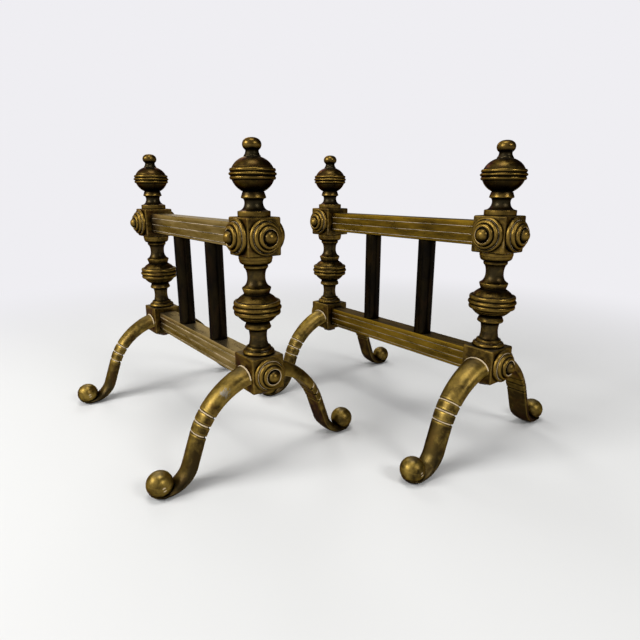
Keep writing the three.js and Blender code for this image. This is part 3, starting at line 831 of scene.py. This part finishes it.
ROOT_OUT = 13.0
ROOT_HEIGHT = 65.8
ROOT_SLOPE = math.radians(16)
SHANK_SLOPE = math.radians(70.5)
ARCH_RADIUS = 52
SWEEP_RADIUS = 22
SOLE_LENGTH = 3
CURL_ANGLE = math.radians(56)
CURL_LENGTH = 9
CURL_CLOSES = 0.6
BALL_RADIUS = 8.8
BALL_LIP = 0.8
SOLE_BOW = 0.07
LEG_TENON = 5
ROOT_WIDTH = 22
ROOT_DEPTH = 10.8
SHANK_WIDTH = 16.5
SHANK_DEPTH = 7.6
SOLE_WIDTH = 15
SOLE_DEPTH = 5.2
TIP_WIDTH = 9
TIP_DEPTH = 3.2
LEG_RINGS = (33.0, 39.8, 46.6)
RING_HALF = 0.75
RING_DEPTH = 0.95
RING_LIP = 0.5
# The first part of the arch turns from the upright face of the block to the slope of the bar, and
# the first part of the curl fits its underside to the ball.
ROOT_SHARE = 0.12
BOW_SHARE = 0.3
LEG_STATION_STEP = 0.9
CURL_STEPS = 14
SECTION_STEPS = 14
UNDERSIDE_LINES = (-0.7, -0.35, 0, 0.35, 0.7)
SIDE_SHARE = 0.2
LEG_CORNER = 1.2
CORNER_CUT = 0.3
# Over this length the metal goes from golden near the block to brown near the foot.
BROWNING_LENGTH = LEG_RINGS[-1] + 40
ROOT_CHALK_LENGTH = 0.6


def leg_stations():
    """Walks down the underside: (walked, out, height, slope, width, depth, bow), in millimetres,
    where `bow` is how sharply the underside is curved across the bar, 1 over its radius."""
    arch_length = ARCH_RADIUS * (SHANK_SLOPE - ROOT_SLOPE)
    arch_drop = ARCH_RADIUS * (math.cos(ROOT_SLOPE) - math.cos(SHANK_SLOPE))
    sweep_drop = SWEEP_RADIUS * (1 - math.cos(SHANK_SLOPE))
    shank_length = (ROOT_HEIGHT - arch_drop - sweep_drop) / math.sin(SHANK_SLOPE)
    sweep_length = SWEEP_RADIUS * SHANK_SLOPE
    stations = []
    shank_out = ROOT_OUT + ARCH_RADIUS * (math.sin(SHANK_SLOPE) - math.sin(ROOT_SLOPE))
    shank_high = ROOT_HEIGHT - arch_drop
    sweep_out = shank_out + shank_length * math.cos(SHANK_SLOPE)
    sweep_high = shank_high - shank_length * math.sin(SHANK_SLOPE)
    sole_out = sweep_out + SWEEP_RADIUS * math.sin(SHANK_SLOPE)
    ball_out = sole_out + SOLE_LENGTH

    def add(walked, out, height, slope, width, depth, bow=0.0):
        stations.append((walked, out, height, slope, width, depth, bow))

    count = round(arch_length / LEG_STATION_STEP * 2)
    for i in range(count):
        share = i / count
        slope = ROOT_SLOPE + (SHANK_SLOPE - ROOT_SLOPE) * share
        out = ROOT_OUT + ARCH_RADIUS * (math.sin(slope) - math.sin(ROOT_SLOPE))
        height = ROOT_HEIGHT - ARCH_RADIUS * (math.cos(ROOT_SLOPE) - math.cos(slope))
        lean = slope * min(1.0, share / ROOT_SHARE)
        thinned = share ** 0.5
        width = ROOT_WIDTH - (ROOT_WIDTH - SHANK_WIDTH) * thinned
        depth = ROOT_DEPTH - (ROOT_DEPTH - SHANK_DEPTH) * thinned
        add(arch_length * share, out, height, lean, width, depth)
    count = round(shank_length / LEG_STATION_STEP)
    for i in range(count):
        share = i / count
        out = shank_out + shank_length * math.cos(SHANK_SLOPE) * share
        height = shank_high - shank_length * math.sin(SHANK_SLOPE) * share
        add(arch_length + shank_length * share, out, height, SHANK_SLOPE, SHANK_WIDTH, SHANK_DEPTH)
    count = round(sweep_length / LEG_STATION_STEP)
    for i in range(count + 1):
        share = i / count
        slope = SHANK_SLOPE * (1 - share)
        out = sweep_out + SWEEP_RADIUS * (math.sin(SHANK_SLOPE) - math.sin(slope))
        height = sweep_high - SWEEP_RADIUS * (math.cos(slope) - math.cos(SHANK_SLOPE))
        reached = arch_length + shank_length + sweep_length * share
        width = SHANK_WIDTH - (SHANK_WIDTH - SOLE_WIDTH) * share
        depth = SHANK_DEPTH - (SHANK_DEPTH - SOLE_DEPTH) * share ** 2
        add(reached, out, height, slope, width, depth, SOLE_BOW * share)
    curl_starts = stations[-1][0] + SOLE_LENGTH
    for i in range(CURL_STEPS + 1):
        share = i / CURL_STEPS
        turn = CURL_ANGLE * share
        reach = BALL_RADIUS + BALL_LIP - CURL_CLOSES * share ** 2
        out = ball_out + reach * math.sin(turn)
        height = BALL_RADIUS + BALL_LIP - reach * math.cos(turn)
        width = SOLE_WIDTH - (SOLE_WIDTH - TIP_WIDTH) * share
        depth = SOLE_DEPTH - (SOLE_DEPTH - TIP_DEPTH) * share
        bow = SOLE_BOW + (1 / reach - SOLE_BOW) * min(1.0, share / BOW_SHARE)
        add(curl_starts + CURL_LENGTH * share, out, height, -turn, width, depth, bow)
    return stations, ball_out


def ring_cut(walked):
    """How deep the nearest cut ring bites at this distance down the leg, and how near its lip is."""
    nearest = min(abs(walked - ring) for ring in LEG_RINGS)
    bite = RING_DEPTH * max(0.0, 1 - (nearest / RING_HALF) ** 2)
    lip = math.exp(-((nearest - RING_HALF - RING_LIP) / RING_LIP) ** 2)
    return bite, lip


def bow_lift(across, bow):
    """How far a bowed underside has risen at a distance from the middle of the bar."""
    return 1 / bow - math.sqrt(max(0.0, 1 / bow ** 2 - across ** 2))


def leg_section(width, depth, bite, bow):
    """One D-shaped ring of (across, up, mark): flat or bowed below, and rounded above."""
    half = width / 2 - bite
    side = depth * SIDE_SHARE
    corner = min(LEG_CORNER, side)
    underside = [-half + corner] + [half * share for share in UNDERSIDE_LINES] + [half - corner]
    ring = [(across, bite, 0.0) for across in underside]
    ring.append((half - corner * CORNER_CUT, bite + corner * CORNER_CUT, 0.4))
    for i in range(SECTION_STEPS + 1):
        turn = math.pi * i / SECTION_STEPS
        up = bite + side + (depth - 2 * bite - side) * math.sin(turn)
        ring.append((half * math.cos(turn), up, 0.3 * math.sin(turn) ** 2))
    ring.append((-half + corner * CORNER_CUT, bite + corner * CORNER_CUT, 0.4))
    if bow > 0:
        ring = [(across, up + (1 - up / depth) * bow_lift(across, bow), mark) for across, up, mark in ring]
    return ring


def leg_shape():
    """The bar in its own frame, out along -X from the post, in mm: points, faces, marks, ball's place."""
    stations, ball_out = leg_stations()
    points = []
    marks = {"relief": [], "girth": [], "residue": [], "scuff": []}
    for walked, out, height, slope, width, depth, bow in stations:
        bite, lip = ring_cut(walked)
        for across, up, mark in leg_section(width, depth, bite, bow):
            points.append(Vector((-(out + up * math.sin(slope)), across, height + up * math.cos(slope))))
            marks["relief"].append(max(-1.0, mark + 0.4 * lip - 1.3 * bite))
            marks["girth"].append(max(-0.4, 1.1 - 1.8 * walked / BROWNING_LENGTH))
            lodged = 0.8 if walked < ROOT_CHALK_LENGTH else max(0.0, bite / RING_DEPTH - 0.35) * 1.5
            marks["residue"].append(lodged if up > depth * 0.3 else 0.0)
            marks["scuff"].append(0.0)
    count = len(points) // len(stations)
    last = len(points) - count
    faces = [list(range(count))[::-1]]
    for first in range(0, last, count):
        for i in range(count):
            after = (i + 1) % count
            faces.append([first + i, first + after, first + count + after, first + count + i])
    faces.append([last + i for i in range(count)])
    return points, faces, marks, ball_out


def ball_shape(ball_out, sides=48, rings=24):
    """The ball as points and faces, in the bar's frame, with its poles across the bar."""
    centre = Vector((-ball_out, 0, BALL_RADIUS + BALL_LIP))
    points = [centre + Vector((0, -BALL_RADIUS, 0))]
    for ring in range(1, rings):
        turn = math.pi * ring / rings
        for side in range(sides):
            angle = 2 * math.pi * side / sides
            radius = BALL_RADIUS * math.sin(turn)
            across = -BALL_RADIUS * math.cos(turn)
            points.append(centre + Vector((radius * math.cos(angle), across, radius * math.sin(angle))))
    points.append(centre + Vector((0, BALL_RADIUS, 0)))
    faces = []
    far_pole = len(points) - 1
    last = far_pole - sides
    for side in range(sides):
        after = (side + 1) % sides
        faces.append([0, 1 + side, 1 + after][::-1])
        faces.append([far_pole, last + side, last + after])
        for ring in range(rings - 2):
            first = 1 + ring * sides
            quad = [first + side, first + after, first + sides + after, first + sides + side]
            faces.append(quad[::-1])
    return points, faces


def joined(first, second):
    """Joins two closed meshes into one skin and returns it."""
    pair = []
    for mesh in (first, second):
        piece = bpy.data.objects.new(mesh.name, mesh)
        bpy.context.scene.collection.objects.link(piece)
        pair.append(piece)
    union = pair[0].modifiers.new("join", "BOOLEAN")
    union.operation = "UNION"
    union.solver = "EXACT"
    union.object = pair[1]
    bpy.context.view_layer.update()
    skin = bpy.data.meshes.new_from_object(pair[0].evaluated_get(bpy.context.evaluated_depsgraph_get()))
    for piece in pair:
        bpy.data.objects.remove(piece)
    return skin


bar_points, bar_faces, bar_marks, leg_ball_out = leg_shape()
bar_mesh = mesh_with_marks("leg_bar", bar_points, bar_faces, bar_marks)
ball_points, ball_faces = ball_shape(leg_ball_out)
# The balls are darker than the bars, as metal that is seldom rubbed.
BALL_MARKS = {"relief": -0.48, "girth": -0.45, "residue": 0.0, "scuff": 0.0}
ball_marks = {mark: [value] * len(ball_points) for mark, value in BALL_MARKS.items()}
ball_mesh = mesh_with_marks("leg_ball", ball_points, ball_faces, ball_marks)
leg_skin = joined(bar_mesh, ball_mesh)

# One leg has a grey scraped patch near its root, at this place in the leg's own frame.
SCUFFED_LEG = "left_front_outer_leg"
SCUFF_PLACE = Vector((-32, -8, 64))
SCUFF_REACH = 8

LEG_GOLD = (0.27, 0.18, 0.038, 1)
tenon_out = (ROOT_OUT - LEG_TENON) * MM
leg_brass = old_brass("leg_brass", LEG_GOLD, OLIVE_BROWN, tarnish=0.59, rough=(0.32, 0.5), under=0.3)
for andiron in ANDIRONS:
    outward = -1 if andiron == "left" else 1
    for end in ENDS:
        for name, side in (("outer_leg", outward), ("inner_leg", -outward)):
            node = f"{andiron}_{end}_{name}"
            low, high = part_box(node)
            post_x = high.x + tenon_out if side < 0 else low.x - tenon_out
            place = Matrix.Translation((post_x, (low.y + high.y) / 2, 0))
            place = place @ Matrix.Rotation(0 if side < 0 else math.pi, 4, "Z") @ Matrix.Scale(MM, 4)
            mesh = leg_skin.copy()
            if node == SCUFFED_LEG:
                for vertex, mark in zip(mesh.vertices, mesh.attributes["scuff"].data):
                    mark.value = max(0.0, 1 - (vertex.co - SCUFF_PLACE).length / SCUFF_REACH)
            mesh.transform(place)
            finish_piece(f"{node}_cast", node, mesh, leg_brass)


# ---- Tie rods and nuts ----
# An iron rod through each post, with a nut under the lower block. Only the nut and the rod's end
# show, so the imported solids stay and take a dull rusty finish.

IRON = (0.07, 0.06, 0.05, 1)
RUST = (0.12, 0.06, 0.03, 1)
RUST_SIZE = 2.5 * MM

dull_iron = bpy.data.materials.new("dull_iron")
dull_iron.use_nodes = True
iron_tree = dull_iron.node_tree
iron_shader = iron_tree.nodes["Principled BSDF"]
iron_shader.inputs["Metallic"].default_value = 0.7
rusting = mottle(iron_tree, RUST_SIZE)
iron_colour = mixed(iron_tree, spread(iron_tree, rusting, 0.42, 0.62), IRON, RUST)
iron_tree.links.new(iron_colour, iron_shader.inputs["Base Color"])
iron_tree.links.new(spread(iron_tree, rusting, 0.3, 0.7, 0.45, 0.8), iron_shader.inputs["Roughness"])
for andiron in ANDIRONS:
    for end in ENDS:
        for piece_name in ("tie_rod", "nut"):
            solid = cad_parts[f"{andiron}_{end}_{piece_name}"]
            solid.data.materials.clear()
            solid.data.materials.append(dull_iron)
